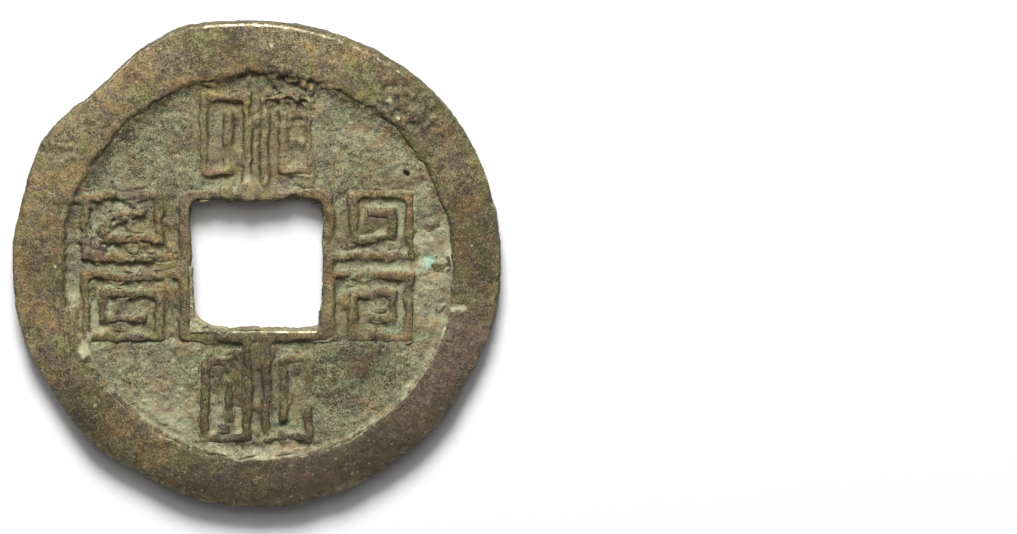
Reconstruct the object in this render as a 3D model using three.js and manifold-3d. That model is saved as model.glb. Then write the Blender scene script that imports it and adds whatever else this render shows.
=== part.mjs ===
// A cast brass cash coin, lying flat with its obverse up. The coin is one casting: a worn round blank with
// a square string hole, a raised rim and a raised border round the hole on each face, and cast ornament in
// the sunk field between them. Hard earth fills the sunk places in separate patches, with one green patch
// of copper salts on the reverse.
// Units are millimetres and +Z is up. The origin is the centre of the outline on the plane that the coin
// rests on. +Y is the top of both faces. The coin turns over about its Y line, so the left of the reverse,
// as it is looked at, lies at +X.

import * as THREE from "three";
import { mergeVertices } from "three/addons/utils/BufferGeometryUtils.js";
import Module from "manifold-3d";

const wasm = await Module();
wasm.setup();

// The blank.
const coinRadius = 12;
const coinThickness = 1.5;
const edgeChamfer = 0.14;
const outlineSteps = 120;

// Where the outline is worn in or stands proud: the middle of each place in degrees from +X towards +Y,
// how far it reaches to either side, and how much it adds to the radius.
const outlineWear = [
  { at: 42, reach: 36, rise: 0.17 },
  { at: 107, reach: 13, rise: 0.26 },
  { at: 131, reach: 17, rise: -0.37 },
  { at: 151, reach: 9, rise: 0.12 },
  { at: 166, reach: 9, rise: -0.12 },
  { at: 213, reach: 15, rise: -0.2 },
  { at: 240, reach: 14, rise: -0.18 },
  { at: 303, reach: 22, rise: -0.14 },
  { at: 331, reach: 20, rise: -0.2 },
];

// The sunk fields, which the mould left a little off centre.
const obverseField = { x: 0.1, y: -0.07, radius: 9.5, depth: 0.32 };
const reverseField = { x: 0.35, y: 0.1, radius: 8.8, depth: 0.3 };
const fieldDraft = 0.14;
const fieldSteps = 96;

// The string hole.
const hole = { x: 0.02, y: -0.05, width: 6.45, height: 6.35, corner: 0.25 };
const cornerSteps = 3;

// The borders round the hole. The reverse one has a ledge, which steps down to the hole.
const obverseBorderWidth = 0.6;
const reverseBorderWidth = 1.65;
const reverseLedgeWidth = 1.1;
const reverseLedgeDrop = 0.14;
const borderCorner = 0.5;
const borderChamfer = 0.1;

// Cast relief stands a little lower than the rim, and its foot is sunk into the web to fuse with it.
const reliefDrop = 0.05;
const footDepth = 0.15;

// The obverse ornament: four pairs of squared spirals, one pair to each side of the hole.
const stroke = 0.45;
const strokeChamfer = 0.08;
const fretPitch = 0.9;
const uprightFret = { length: 4.65, spread: 2.1 };
const leftFret = { length: 4.55, spread: 3.05 };
const rightFret = { length: 3.7, spread: 3.05 };

// The reverse ornament: a string of three rings beside a stem, on either side of the hole. The outer side of
// each stem stands in from the wall of the field. Left and right are as the reverse is looked at.
const ring = { radius: 0.75, bore: 0.33, spacing: 2.15, count: 3 };
const stem = { width: 0.45, halfLength: 2.95 };
const stemInset = { left: 2.1, right: 1.45 };
const bead = { radius: 0.42, steps: 8 };

// The earth and the copper salts.
const earthThickness = 0.1;
const earthGap = 0.13;
const earthArm = 1.25;
const cornerEarth = { leg: 1.15, inset: 0.2 };
const verdigris = { behindStem: 0.45, radius: 0.55, topRadius: 0.39, height: 0.09, steps: 14 };

// Points of a mesh that lie closer together than this are one point.
const weldDistance = 1e-5;

// Levels and edges that follow from the sizes above.
const obverseFloor = coinThickness - obverseField.depth;
const reverseFloor = reverseField.depth;
const obverseRelief = coinThickness - reliefDrop;
const reverseRelief = reliefDrop;
const holeHalf = { x: hole.width / 2, y: hole.height / 2 };
const obverseBorder = { x: holeHalf.x + obverseBorderWidth, y: holeHalf.y + obverseBorderWidth };
const reverseBorder = { x: holeHalf.x + reverseBorderWidth, y: holeHalf.y + reverseBorderWidth };
const uprightHalfWidth = fretPitch / 2 + uprightFret.spread + stroke / 2;
const sideHalfHeight = fretPitch / 2 + Math.max(leftFret.spread, rightFret.spread) + stroke / 2;
const beadStringHalfHeight = stem.halfLength + bead.radius;
const sidePocketHalfHeight = beadStringHalfHeight + earthGap + earthArm;
const farOut = 2 * coinRadius;

const brass = new THREE.MeshStandardMaterial({ color: "#796b52", roughness: 0.6, metalness: 0.6 });
const earth = new THREE.MeshStandardMaterial({ color: "#8f8a6c", roughness: 0.95, metalness: 0 });
const salts = new THREE.MeshStandardMaterial({ color: "#9fd3bd", roughness: 0.9, metalness: 0 });

// Turns a closed three.js geometry into a solid that can be cut and joined.
function solidOf(geometry) {
  const bare = geometry.index ? geometry.toNonIndexed() : geometry.clone();
  bare.deleteAttribute("normal");
  bare.deleteAttribute("uv");
  const merged = mergeVertices(bare, weldDistance);
  return new wasm.Manifold(
    new wasm.Mesh({
      numProp: 3,
      vertProperties: merged.attributes.position.array,
      triVerts: new Uint32Array(merged.index.array),
    }),
  );
}

// Turns a solid back into a geometry.
function geometryOf(solid) {
  const mesh = solid.getMesh();
  return new THREE.BufferGeometry()
    .setAttribute("position", new THREE.BufferAttribute(mesh.vertProperties, mesh.numProp))
    .setIndex(new THREE.BufferAttribute(mesh.triVerts, 1));
}

// A flat shape made solid between two heights, with its edges chamfered inwards.
function slab(shape, low, high, chamfer = 0, curveSegments = cornerSteps) {
  const geometry = new THREE.ExtrudeGeometry(shape, {
    depth: high - low - 2 * chamfer,
    bevelEnabled: chamfer > 0,
    bevelThickness: chamfer,
    bevelSize: chamfer,
    bevelOffset: -chamfer,
    bevelSegments: 1,
    curveSegments,
  });
  return solidOf(geometry.translate(0, 0, low + chamfer));
}

function box(x0, x1, y0, y1, low, high, chamfer = 0) {
  const [left, right] = [Math.min(x0, x1), Math.max(x0, x1)];
  const [near, far] = [Math.min(y0, y1), Math.max(y0, y1)];
  const corners = [
    [left, near],
    [right, near],
    [right, far],
    [left, far],
  ];
  return slab(new THREE.Shape(corners.map((p) => new THREE.Vector2(...p))), low, high, chamfer);
}

function rounded(x, y, halfX, halfY, corner) {
  const shape = new THREE.Shape();
  shape.absarc(x + halfX - corner, y + halfY - corner, corner, 0, Math.PI / 2);
  shape.absarc(x - halfX + corner, y + halfY - corner, corner, Math.PI / 2, Math.PI);
  shape.absarc(x - halfX + corner, y - halfY + corner, corner, Math.PI, 1.5 * Math.PI);
  shape.absarc(x + halfX - corner, y - halfY + corner, corner, 1.5 * Math.PI, 2 * Math.PI);
  return shape;
}

// A round plug between two heights, whose wall leans where its two radii differ.
function plug(x, y, lowRadius, highRadius, low, high, steps) {
  const geometry = new THREE.CylinderGeometry(highRadius, lowRadius, high - low, steps);
  return solidOf(geometry.rotateX(Math.PI / 2).translate(x, y, (low + high) / 2));
}

const join = (solids) => wasm.Manifold.union(solids);

// The blank's outline: a circle, changed where it is worn by a smooth dip or rise.
function outlineRadius(degrees) {
  let radius = coinRadius;
  for (const wear of outlineWear) {
    const share = (degrees - wear.at) / wear.reach;
    if (Math.abs(share) < 1) radius += wear.rise * Math.cos((share * Math.PI) / 2) ** 2;
  }
  return radius;
}

function blank() {
  const points = [];
  for (let step = 0; step < outlineSteps; step++) {
    const degrees = (step * 360) / outlineSteps;
    const angle = THREE.MathUtils.degToRad(degrees);
    const radius = outlineRadius(degrees);
    points.push(new THREE.Vector2(radius * Math.cos(angle), radius * Math.sin(angle)));
  }
  return slab(new THREE.Shape(points), 0, coinThickness, edgeChamfer);
}

// What the mould sinks into each face. The wall of a field leans out by its draft.
function obverseSink() {
  const { x, y, radius } = obverseField;
  return plug(x, y, radius, radius + fieldDraft, obverseFloor, coinThickness, fieldSteps);
}

function reverseSink() {
  const { x, y, radius } = reverseField;
  return plug(x, y, radius + fieldDraft, radius, 0, reverseFloor, fieldSteps);
}

// A stroke follows a line of points with square corners.
function strokes(points, low, high) {
  const half = stroke / 2;
  return points.slice(1).map(([x1, y1], i) => {
    const [x0, y0] = points[i];
    return box(
      Math.min(x0, x1) - half,
      Math.max(x0, x1) + half,
      Math.min(y0, y1) - half,
      Math.max(y0, y1) + half,
      low,
      high,
      strokeChamfer,
    );
  });
}

// The middle line of a squared spiral, from its outer end inwards: out along its length, across, back and
// across again, each pair of runs one pitch shorter than the last.
function squaredSpiral({ length, spread }) {
  const points = [[0, 0]];
  const turns = [
    [1, 0],
    [0, 1],
    [-1, 0],
    [0, -1],
  ];
  for (let run = 0; ; run++) {
    const shorter = Math.floor(run / 2) * fretPitch;
    const size = (run % 2 ? spread : length) - shorter;
    if (size < fretPitch) return points;
    const [out, across] = points[points.length - 1];
    const [stepOut, stepAcross] = turns[run % 4];
    points.push([out + stepOut * size, across + stepAcross * size]);
  }
}

// A mirrored pair of spirals that stands out from the border on one side of the hole. place turns its own
// out and across sizes into x and y.
function fretPair(fret, place) {
  const line = squaredSpiral(fret);
  return [-1, 1].flatMap((side) => {
    const placed = line.map(([out, across]) => place(out, side * (fretPitch / 2 + across)));
    return strokes(placed, obverseFloor - footDepth, obverseRelief);
  });
}

function obverseOrnament() {
  const { x, y } = hole;
  return [
    ...fretPair(uprightFret, (out, across) => [x + across, y + obverseBorder.y + out]),
    ...fretPair(uprightFret, (out, across) => [x + across, y - obverseBorder.y - out]),
    ...fretPair(leftFret, (out, across) => [x - obverseBorder.x - out, y + across]),
    ...fretPair(rightFret, (out, across) => [x + obverseBorder.x + out, y + across]),
  ];
}

// The outer side of the stem of one bead string. side is 1 for the left string, at +X, and -1 for the right.
function stemOuterX(side) {
  const inset = side > 0 ? stemInset.left : stemInset.right;
  return reverseField.x + side * (reverseField.radius - inset);
}

// A string of rings whose sides fuse with a stem, which has a bead at each end.
function beadString(side) {
  const low = reverseRelief;
  const high = reverseFloor + footDepth;
  const outer = stemOuterX(side);
  const inner = outer - side * stem.width;
  const ringX = inner - side * (ring.radius - strokeChamfer);
  const ends = [hole.y - stem.halfLength, hole.y + stem.halfLength];
  const pieces = [box(inner, outer, ...ends, low, high, strokeChamfer)];
  for (const end of ends) {
    const shape = new THREE.Shape().absarc(inner, end, bead.radius, 0, 2 * Math.PI);
    pieces.push(slab(shape, low, high, strokeChamfer, bead.steps));
  }
  for (let i = 0; i < ring.count; i++) {
    const ringY = hole.y + (i - (ring.count - 1) / 2) * ring.spacing;
    const shape = new THREE.Shape().absarc(ringX, ringY, ring.radius, 0, 2 * Math.PI);
    shape.holes.push(new THREE.Path().absarc(ringX, ringY, ring.bore, 0, 2 * Math.PI, true));
    pieces.push(slab(shape, low, high, strokeChamfer, bead.steps));
  }
  return pieces;
}

function casting() {
  const { x, y } = hole;
  const obverseRing = rounded(x, y, obverseBorder.x, obverseBorder.y, borderCorner);
  const reverseRing = rounded(x, y, reverseBorder.x, reverseBorder.y, borderCorner);
  const ledge = rounded(x, y, holeHalf.x + reverseLedgeWidth, holeHalf.y + reverseLedgeWidth, hole.corner);
  const opening = rounded(x, y, holeHalf.x, holeHalf.y, hole.corner);
  const sunk = blank().subtract(join([obverseSink(), reverseSink()]));
  const raised = join([
    slab(obverseRing, obverseFloor - footDepth, obverseRelief, borderChamfer),
    slab(reverseRing, reverseRelief, reverseFloor + footDepth, borderChamfer),
    ...obverseOrnament(),
    ...beadString(1),
    ...beadString(-1),
  ]);
  return sunk
    .add(raised)
    .subtract(slab(ledge, -coinThickness, reverseRelief + reverseLedgeDrop))
    .subtract(slab(opening, -coinThickness, 2 * coinThickness));
}

// Earth lies on the floor of a field, inside its wall by a small gap.
function obverseEarth() {
  const { x, y, radius } = obverseField;
  const across = radius - earthGap;
  return plug(x, y, across, across, obverseFloor, obverseFloor + earthThickness, fieldSteps);
}

function reverseEarth() {
  const { x, y, radius } = reverseField;
  const across = radius - earthGap;
  return plug(x, y, across, across, reverseFloor - earthThickness, reverseFloor, fieldSteps);
}

// The patch in one corner of the obverse field, between two pairs of spirals.
function cornerPatch(sideX, sideY) {
  const fromX = hole.x + sideX * (uprightHalfWidth + earthGap);
  const fromY = hole.y + sideY * (sideHalfHeight + earthGap);
  return obverseEarth().intersect(box(fromX, sideX * farOut, fromY, sideY * farOut, 0, coinThickness));
}

// The crescent between the end of the right-hand spirals and the rim.
function crescentPatch() {
  const fromX = hole.x + obverseBorder.x + rightFret.length + stroke / 2 + earthGap;
  const half = sideHalfHeight;
  return obverseEarth().intersect(box(fromX, farOut, hole.y - half, hole.y + half, 0, coinThickness));
}

// The patch above or below the border of the reverse.
function segmentPatch(side) {
  const fromY = hole.y + side * (Math.max(reverseBorder.y, sidePocketHalfHeight) + earthGap);
  return reverseEarth().intersect(box(-farOut, farOut, fromY, side * farOut, 0, coinThickness));
}

// The patch round the outer side and both ends of a bead string.
function bracketPatch(side) {
  const fromX = hole.x + side * (reverseBorder.x + earthGap);
  const half = sidePocketHalfHeight;
  const keepOutX = stemOuterX(side) + side * earthGap;
  const keepOutHalf = beadStringHalfHeight + earthGap;
  return reverseEarth()
    .intersect(box(fromX, side * farOut, hole.y - half, hole.y + half, 0, coinThickness))
    .subtract(box(hole.x, keepOutX, hole.y - keepOutHalf, hole.y + keepOutHalf, 0, coinThickness));
}

// Earth packed into the lower left corner of the hole.
function holeCornerEarth() {
  const left = hole.x - holeHalf.x;
  const low = hole.y - holeHalf.y;
  const shape = new THREE.Shape([
    new THREE.Vector2(left, low + hole.corner),
    new THREE.Vector2(left + hole.corner, low),
    new THREE.Vector2(left + cornerEarth.leg, low),
    new THREE.Vector2(left, low + cornerEarth.leg),
  ]);
  return slab(shape, reverseRelief + reverseLedgeDrop + cornerEarth.inset, coinThickness - cornerEarth.inset);
}

// Copper salts, grown on the earth at the upper left of the reverse.
function verdigrisPatch() {
  const x = stemOuterX(1) - verdigris.behindStem;
  const y = hole.y + (beadStringHalfHeight + earthGap + sidePocketHalfHeight) / 2;
  const { radius, topRadius, height, steps } = verdigris;
  const seat = reverseFloor - earthThickness;
  return plug(x, y, topRadius, radius, seat - height, seat, steps);
}

const coin = new THREE.Group();

function addPiece(name, solid, material) {
  const mesh = new THREE.Mesh(geometryOf(solid), material);
  mesh.name = name;
  coin.add(mesh);
}

addPiece("coin_casting", casting(), brass);
addPiece("obverse_upper_left_earth", cornerPatch(-1, 1), earth);
addPiece("obverse_upper_right_earth", cornerPatch(1, 1), earth);
addPiece("obverse_lower_left_earth", cornerPatch(-1, -1), earth);
addPiece("obverse_lower_right_earth", cornerPatch(1, -1), earth);
addPiece("obverse_right_crescent_earth", crescentPatch(), earth);
addPiece("reverse_top_earth", segmentPatch(1), earth);
addPiece("reverse_bottom_earth", segmentPatch(-1), earth);
addPiece("reverse_left_earth", bracketPatch(1), earth);
addPiece("reverse_right_earth", bracketPatch(-1), earth);
addPiece("hole_corner_earth", holeCornerEarth(), earth);
addPiece("verdigris_patch", verdigrisPatch(), salts);

export default coin;
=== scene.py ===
"""Dresses a worn cast brass cash coin: the casting, its crusts of old earth, a patch of copper salts and a
plain white table with soft light from the top of the coin."""

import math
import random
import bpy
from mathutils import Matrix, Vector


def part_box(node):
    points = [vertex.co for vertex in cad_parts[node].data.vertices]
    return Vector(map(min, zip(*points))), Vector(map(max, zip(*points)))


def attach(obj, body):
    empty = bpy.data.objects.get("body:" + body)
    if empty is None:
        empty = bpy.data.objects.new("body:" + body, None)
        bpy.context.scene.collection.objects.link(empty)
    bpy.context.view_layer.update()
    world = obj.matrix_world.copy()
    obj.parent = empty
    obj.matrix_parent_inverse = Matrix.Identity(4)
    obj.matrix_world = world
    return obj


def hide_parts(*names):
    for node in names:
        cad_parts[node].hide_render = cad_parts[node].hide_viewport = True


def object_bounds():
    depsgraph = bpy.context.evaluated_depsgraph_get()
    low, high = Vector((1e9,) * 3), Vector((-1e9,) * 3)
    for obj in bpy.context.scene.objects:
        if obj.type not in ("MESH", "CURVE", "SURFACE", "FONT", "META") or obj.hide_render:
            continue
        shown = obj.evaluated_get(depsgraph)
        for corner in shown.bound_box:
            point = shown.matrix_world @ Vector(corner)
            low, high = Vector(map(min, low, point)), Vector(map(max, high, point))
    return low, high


bl_info = {
    "name": "Cash Coin",
    "version": (1, 0, 0),
    "blender": (4, 5, 0),
    "location": "View3D > Sidebar > Cash Coin",
    "description": "Models and finishes a worn cash coin with a square string hole",
    "category": "Object",
}

import bpy
import numpy as np
from bpy.props import FloatProperty, FloatVectorProperty, IntProperty, PointerProperty
from bpy.types import Operator, Panel, PropertyGroup
from mathutils import Matrix, Vector
from mathutils.bvhtree import BVHTree
from mathutils.noise import noise_vector, seed_set

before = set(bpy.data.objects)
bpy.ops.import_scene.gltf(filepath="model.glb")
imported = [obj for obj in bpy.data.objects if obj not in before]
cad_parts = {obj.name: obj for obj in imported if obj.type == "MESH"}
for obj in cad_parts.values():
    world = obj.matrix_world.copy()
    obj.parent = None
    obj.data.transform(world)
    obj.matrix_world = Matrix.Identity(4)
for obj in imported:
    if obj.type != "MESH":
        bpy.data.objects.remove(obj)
cad_low, cad_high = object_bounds()

# Shapes are worked in millimetres and brought back to metres when they are done.
MM = 0.001
WELD = 0.002

# The coin, in millimetres, from the frame.
THICKNESS = cad_high.z / MM
OBVERSE_FIELD = (0.1, -0.07, 9.57)
REVERSE_FIELD = (0.35, 0.1, 8.87)
MIDDLE = THICKNESS / 2
OUTLINE = cad_high.x / MM
OBVERSE_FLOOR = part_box("obverse_upper_left_earth")[0].z / MM
REVERSE_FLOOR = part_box("reverse_top_earth")[1].z / MM


def tone(red, green, blue):
    """A colour as a screen shows it, from 0 to 255, turned into the linear one that a shader takes."""
    shares = [value / 255 for value in (red, green, blue)]
    return tuple(s / 12.92 if s <= 0.04045 else ((s + 0.055) / 1.055) ** 2.4 for s in shares)


def length(name, description, default):
    return FloatProperty(name=name, description=description, default=default, unit="LENGTH", precision=6)


def angle(name, description, degrees):
    default = math.radians(degrees)
    return FloatProperty(name=name, description=description, default=default, subtype="ANGLE")


def power(name, description, default):
    return FloatProperty(name=name, description=description, default=default, unit="POWER")


def colour(name, description, default):
    return FloatVectorProperty(
        name=name, description=description, default=default, subtype="COLOR", size=3, min=0, max=1
    )


class CastingSettings(PropertyGroup):
    """Sizes of the worn casting."""

    voxel: length("Voxel", "Spacing of the first fine mesh", 0.000055)
    rounding: IntProperty(name="Rounding", description="Smoothing steps that wear the edges", default=6)
    domed: length("Domed", "How far the rim falls to the outer edge", 0.0002)
    heaped: length("Heaped", "How high earth lies at the foot of a field's wall", 0.00018)
    ragged: length("Ragged", "How far outlines wander from a true line", 0.00038)
    uneven: length("Uneven", "How far the faces swell and sink", 0.00007)
    pitted: length("Pitted", "Depth of the small pits", 0.00005)
    rubbed: length("Rubbed", "How much height the relief has lost", 0.00011)
    corroded: length("Corroded", "Depth of the rough pits in corroded places", 0.00028)
    triangles: IntProperty(name="Triangles", description="Most triangles kept", default=196000)


class CrustSettings(PropertyGroup):
    """Sizes of the crusts of earth and of the copper salts."""

    cell: length("Cell", "Spacing of a crust's mesh", 0.00005)
    feather: length("Feather", "Width over which a crust thins out", 0.00045)
    sunk: length("Sunk", "How deep a crust's thin edge lies under the field", 0.00005)
    lumpy: length("Lumpy", "Height of the broad lumps", 0.00014)
    grainy: length("Grainy", "Height of the grains", 0.000035)


class FinishSettings(PropertyGroup):
    """Colours of the coin."""

    brass: colour("Brass", "Worn brown brass", tone(147, 135, 102))
    brass_dark: colour("Dark Brass", "Brass in its darkest places", tone(64, 57, 35))
    brass_warm: colour("Warm Brass", "Reddish places on the brass", tone(146, 117, 74))
    brass_olive: colour("Olive Brass", "Greenish places on the brass", tone(124, 124, 74))
    dusk: colour("Dusk", "Purple brown stains", tone(100, 80, 76))
    # Near white: the colour of bare brass edges, painted as a highlight where they face the lamp.
    bare: colour("Bare Brass", "Brass where an edge is rubbed bare", tone(238, 223, 186))
    earth_dark: colour("Dark Earth", "Old earth in its darkest places", tone(66, 64, 43))
    earth_pale: colour("Pale Earth", "Old earth in its palest places", tone(181, 178, 143))
    earth_green: colour("Green Earth", "Earth that copper has stained", tone(122, 134, 98))
    pits: colour("Pits", "The darkest small pits", tone(34, 33, 27))
    # Patina, which is also the colour of painted shade on the lower rim and on walls and creases facing
    # away from the lamp.
    patina_and_shade: colour("Patina", "Dark skin on walls and in creases", tone(58, 58, 46))
    salts: colour("Salts", "Copper salts", tone(178, 226, 204))


class StageSettings(PropertyGroup):
    """The view, the lamps and the table."""

    focal_length: FloatProperty(name="Focal Length", description="Lens, in millimetres", default=300)
    pixel: length("Pixel", "What one pixel of the view covers on the coin", 0.0000492)
    tilt: angle("Tilt", "Lean of the view to the top", 5.5)
    key_power: power("Key Power", "Power of the main lamp", 2.98)
    key_height: angle("Key Height", "Elevation of the main lamp", 40)
    fill_power: power("Fill Power", "Power of the wide lamp", 0.8)
    fill_height: angle("Fill Height", "Elevation of the wide lamp", 56)
    sky: FloatProperty(name="Sky", description="Strength of the light from all round", default=0.055)


class Settings(PropertyGroup):
    """All that a user would change."""

    casting: PointerProperty(type=CastingSettings)
    crust: PointerProperty(type=CrustSettings)
    finish: PointerProperty(type=FinishSettings)
    stage: PointerProperty(type=StageSettings)


# Places in millimetres: x, y, how far each spreads and what it adds. The reverse's left lies at +x.

# Where the earth is paler or darker: mostly its own tone, with painted shade in a band inside the reverse's
# lower rim.
PALE_OBVERSE = [
    (-4.8, 6.4, 1.6, -0.04), (-5.6, 4.9, 1.0, -0.06), (5.4, 5.8, 1.8, 0.04), (8.7, 0.3, 1.5, 0.56),
    (8.4, -3.2, 1.0, 0.2), (6.0, 1.5, 1.5, 0.2), (-5.3, -5.5, 2.0, 0.02), (-4.5, -7.6, 1.2, 0.3),
    (-8.8, -2.8, 0.9, 0.4), (-6.8, 0.6, 1.6, 0.06), (4.9, -5.4, 1.7, -0.38), (0.3, -8.9, 1.1, 0.2),
    (5.2, -7.4, 0.8, 0.2), (-0.4, 3.8, 0.8, 0.2), (-7.2, -1.2, 0.8, 0.1), (0.0, 8.6, 1.6, -0.12),
]
PALE_REVERSE = [
    (7.0, 0.5, 2.0, 0.08), (6.6, -2.6, 1.2, 0.15), (-5.4, 0.2, 1.2, 1.0), (-7.2, -0.4, 0.7, -0.35),
    (-5.6, 4.3, 1.0, 0.2), (8.0, -0.8, 1.0, -0.2), (4.4, 6.2, 1.2, 0.1), (0.6, 6.3, 1.3, -0.42),
    (-2.4, 6.2, 1.2, -0.36), (6.0, -5.2, 1.2, 0.1), (1.6, -6.2, 1.4, -0.42), (-5.2, -5.0, 1.0, -0.12),
    (-1.4, -6.2, 1.4, -0.42), (0.0, -8.2, 1.2, -0.25), (0.0, -7.4, 1.5, -0.5), (-7.2, 3.6, 1.2, 0.3),
]
EARTH_PALENESS = 0.42
# Where the brass is lighter or darker: partly its own tone, and partly painted shade, darker towards the
# bottom and sides of the rim and in a band inside the reverse's lower rim.
TONE_AND_PAINTED_SHADE_OBVERSE = [
    (0, -10.8, 4.5, -0.42), (6.5, -8.8, 2.4, -0.32), (8.0, 7.6, 2.2, -0.26), (10.9, 0.6, 1.8, -0.3),
    (-7.4, 8.0, 2.6, 0.06), (-2.0, 10.6, 3.0, -0.06), (0.3, 6.0, 2.0, 0.3), (-1.0, 10.9, 0.5, -0.4),
    (-7.9, -7.2, 2.0, -0.18), (0.2, -3.9, 1.4, -0.2), (-6.6, 0.2, 2.2, -0.1), (6.2, 0.2, 1.9, -0.19),
    (-10.4, 0.0, 1.6, -0.08),
]
TONE_AND_PAINTED_SHADE_REVERSE = [
    (-0.6, 3.9, 1.5, -0.3), (-4.1, 1.8, 1.1, -0.6), (-4.2, -1.6, 1.1, -0.8), (-2.0, -4.2, 1.1, -0.2),
    (1.4, -3.9, 0.9, 0.06), (4.2, 1.0, 0.9, -0.2), (0.3, -6.6, 1.8, -0.3), (0.0, -10.6, 4.5, -0.44),
    (8.0, -7.4, 2.0, -0.32), (8.0, -0.8, 1.3, -0.2), (-7.1, -0.4, 1.0, -0.3), (0.0, -7.4, 1.4, -0.25),
    (6.2, -5.2, 1.2, -0.15), (-4.1, -5.4, 1.2, -0.15), (10.6, -1.0, 3.0, -0.24),
    (-10.4, 0.0, 3.0, -0.14), (7.4, 7.8, 2.4, 0.1), (-6.2, 8.0, 1.8, -0.26),
]
# Where the low metal is as brown as the relief.
BROWN_OBVERSE = [
    (0.3, 6.3, 1.9, 0.9), (-4.8, 1.7, 1.3, 0.8), (-4.6, -2.4, 1.2, 0.5), (4.3, 1.6, 1.1, 0.6),
    (4.4, -2.6, 1.1, 0.5), (0.2, -5.6, 1.6, 0.6),
]
BROWN_REVERSE = [
    (0.0, 4.1, 1.6, 1.0), (3.6, 3.6, 0.9, 0.9), (-3.6, 3.6, 0.9, 0.9), (4.1, 0.0, 1.8, 0.9),
    (-4.1, 0.0, 1.2, 1.0), (3.6, -3.6, 0.9, 0.9), (-3.6, -3.6, 0.9, 0.9), (0.0, -4.3, 1.8, 0.9),
    (0.6, 6.8, 1.6, 0.35), (0.3, -6.4, 1.7, 0.6),
]
# Where the brass is stained purple brown.
DUSKY_OBVERSE = [
    (10.4, -3.4, 1.3, 0.7), (8.8, -6.2, 1.4, 0.7), (6.4, -8.6, 1.4, 0.6), (2.6, -10.4, 1.6, 0.6),
    (-1.6, -10.9, 1.2, 0.4), (-4.2, 8.3, 0.7, 0.6), (-3.6, 10.6, 0.6, 0.4), (-7.2, 7.4, 0.8, 0.4),
    (10.6, 4.0, 0.9, 0.3), (-8.9, -6.6, 0.9, 0.4),
]
DUSKY_REVERSE = [
    (-8.2, -6.8, 1.8, 0.6), (-10.4, 2.4, 1.2, 0.5), (0.3, 10.4, 1.4, 0.4), (0.0, -5.8, 1.2, 0.4),
    (7.4, -7.8, 1.4, 0.5),
]
# Where the metal is rough and pitted.
CORRODED_OBVERSE = [
    (6.6, 8.3, 0.9, 1.0), (7.9, 6.9, 0.8, 0.8), (-7.3, 2.0, 1.2, 1.0), (-5.6, 0.8, 0.8, 0.7),
    (-6.4, -1.8, 1.2, 0.5), (4.7, -0.6, 0.6, 0.9), (0.4, 8.7, 1.4, 0.6), (1.2, -8.0, 1.0, 0.4),
    (-9.4, 5.6, 0.6, 0.7), (1.6, 8.8, 0.8, 0.8), (3.2, 8.0, 0.8, 0.9), (-9.0, 0.3, 0.5, 0.8),
    (10.2, 4.6, 0.5, 0.6), (-7.8, -5.4, 0.7, 0.5),
]
CORRODED_REVERSE = [
    (4.2, -2.6, 1.0, 0.8), (-4.0, -2.4, 0.9, 0.9), (-8.6, -0.6, 0.8, 0.7), (-8.0, -7.2, 0.9, 0.7),
    (6.0, -1.2, 1.3, 0.7), (-5.8, 1.2, 1.2, 0.5), (0.0, 8.4, 1.6, 0.5), (-2.6, 4.3, 0.9, 0.7),
    (4.1, 1.2, 1.0, 0.7), (2.2, 4.2, 0.9, 0.5), (-4.2, 1.6, 0.8, 0.6), (0.6, -4.0, 1.3, 0.5),
    (-6.4, -2.4, 1.0, 0.7), (6.4, 2.6, 1.0, 0.6), (4.6, 6.0, 1.1, 0.5), (5.6, -5.0, 1.0, 0.5),
    (-5.0, -5.0, 1.1, 0.6),
]
# Where copper salts stain the earth and the brass.
SALTY_OBVERSE = [
    (8.5, 0.15, 0.28, 0.9), (8.1, -0.3, 0.2, 0.4),
]
SALTY_REVERSE = [
    (6.9, 3.4, 0.55, 0.75), (6.5, 2.5, 0.5, 0.5), (7.2, 4.4, 0.4, 0.3), (4.9, 8.0, 0.3, 0.3),
]
# Small pale marks on the rims and the relief.
MARKS_OBVERSE = [
    (9.62, -2.15, 0.12, 0.8), (9.9, -2.05, 0.12, 0.8), (10.2, -2.12, 0.12, 0.9),
    (-9.85, -0.05, 0.08, 0.9), (0.77, 10.84, 0.08, 0.9), (6.98, 7.28, 0.07, 1.0),
    (6.58, 8.12, 0.2, 0.6), (-5.94, 6.48, 0.12, 0.9), (-8.5, -4.3, 0.26, 0.75),
    (-8.35, -3.9, 0.24, 0.6), (-8.15, -3.5, 0.2, 0.5), (10.6, 1.0, 0.08, 0.7), (-7.9, -6.9, 0.12, 0.6),
    (4.7, 4.6, 0.1, 0.6), (-1.2, 4.25, 0.24, 0.5), (-0.4, 4.3, 0.28, 0.6), (0.5, 4.3, 0.24, 0.5),
]
MARKS_REVERSE = [
    (-8.9, 0.4, 0.2, 0.7), (-8.6, -0.9, 0.15, 0.7), (-9.1, -1.3, 0.12, 0.6), (-8.3, -7.4, 0.14, 0.9),
    (-2.9, -8.9, 0.15, 0.8), (-3.6, -9.3, 0.1, 0.8), (-4.3, -8.8, 0.12, 0.7), (0.4, -8.2, 0.2, 0.6),
    (8.6, -3.3, 0.12, 0.8), (1.0, 7.9, 0.2, 0.7),
]

# Arcs of a face, in degrees from +X towards +Y: where each begins and is full, and where it fades and ends.
UPPER_WALL_ARC = ((20, 60), (150, 185))
LOWER_WALL_ARC = ((190, 225), (335, 355))
LOWER_EDGE_ARC = ((190, 240), (325, 345))
HEAPED_ARC = ((185, 215), (335, 360))
THINNED_ARC = ((185, 205), (345, 360))
CHIPPED_ARC = ((85, 110), (160, 185))


def ramp(values, low, high):
    """0 below low, 1 above high and smooth between them."""
    share = np.clip((values - low) / (high - low), 0, 1)
    return share * share * (3 - 2 * share)


def band(values, rise, fall):
    """1 between a rise and a fall, and 0 outside them."""
    return ramp(values, *rise) * (1 - ramp(values, *fall))


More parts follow.
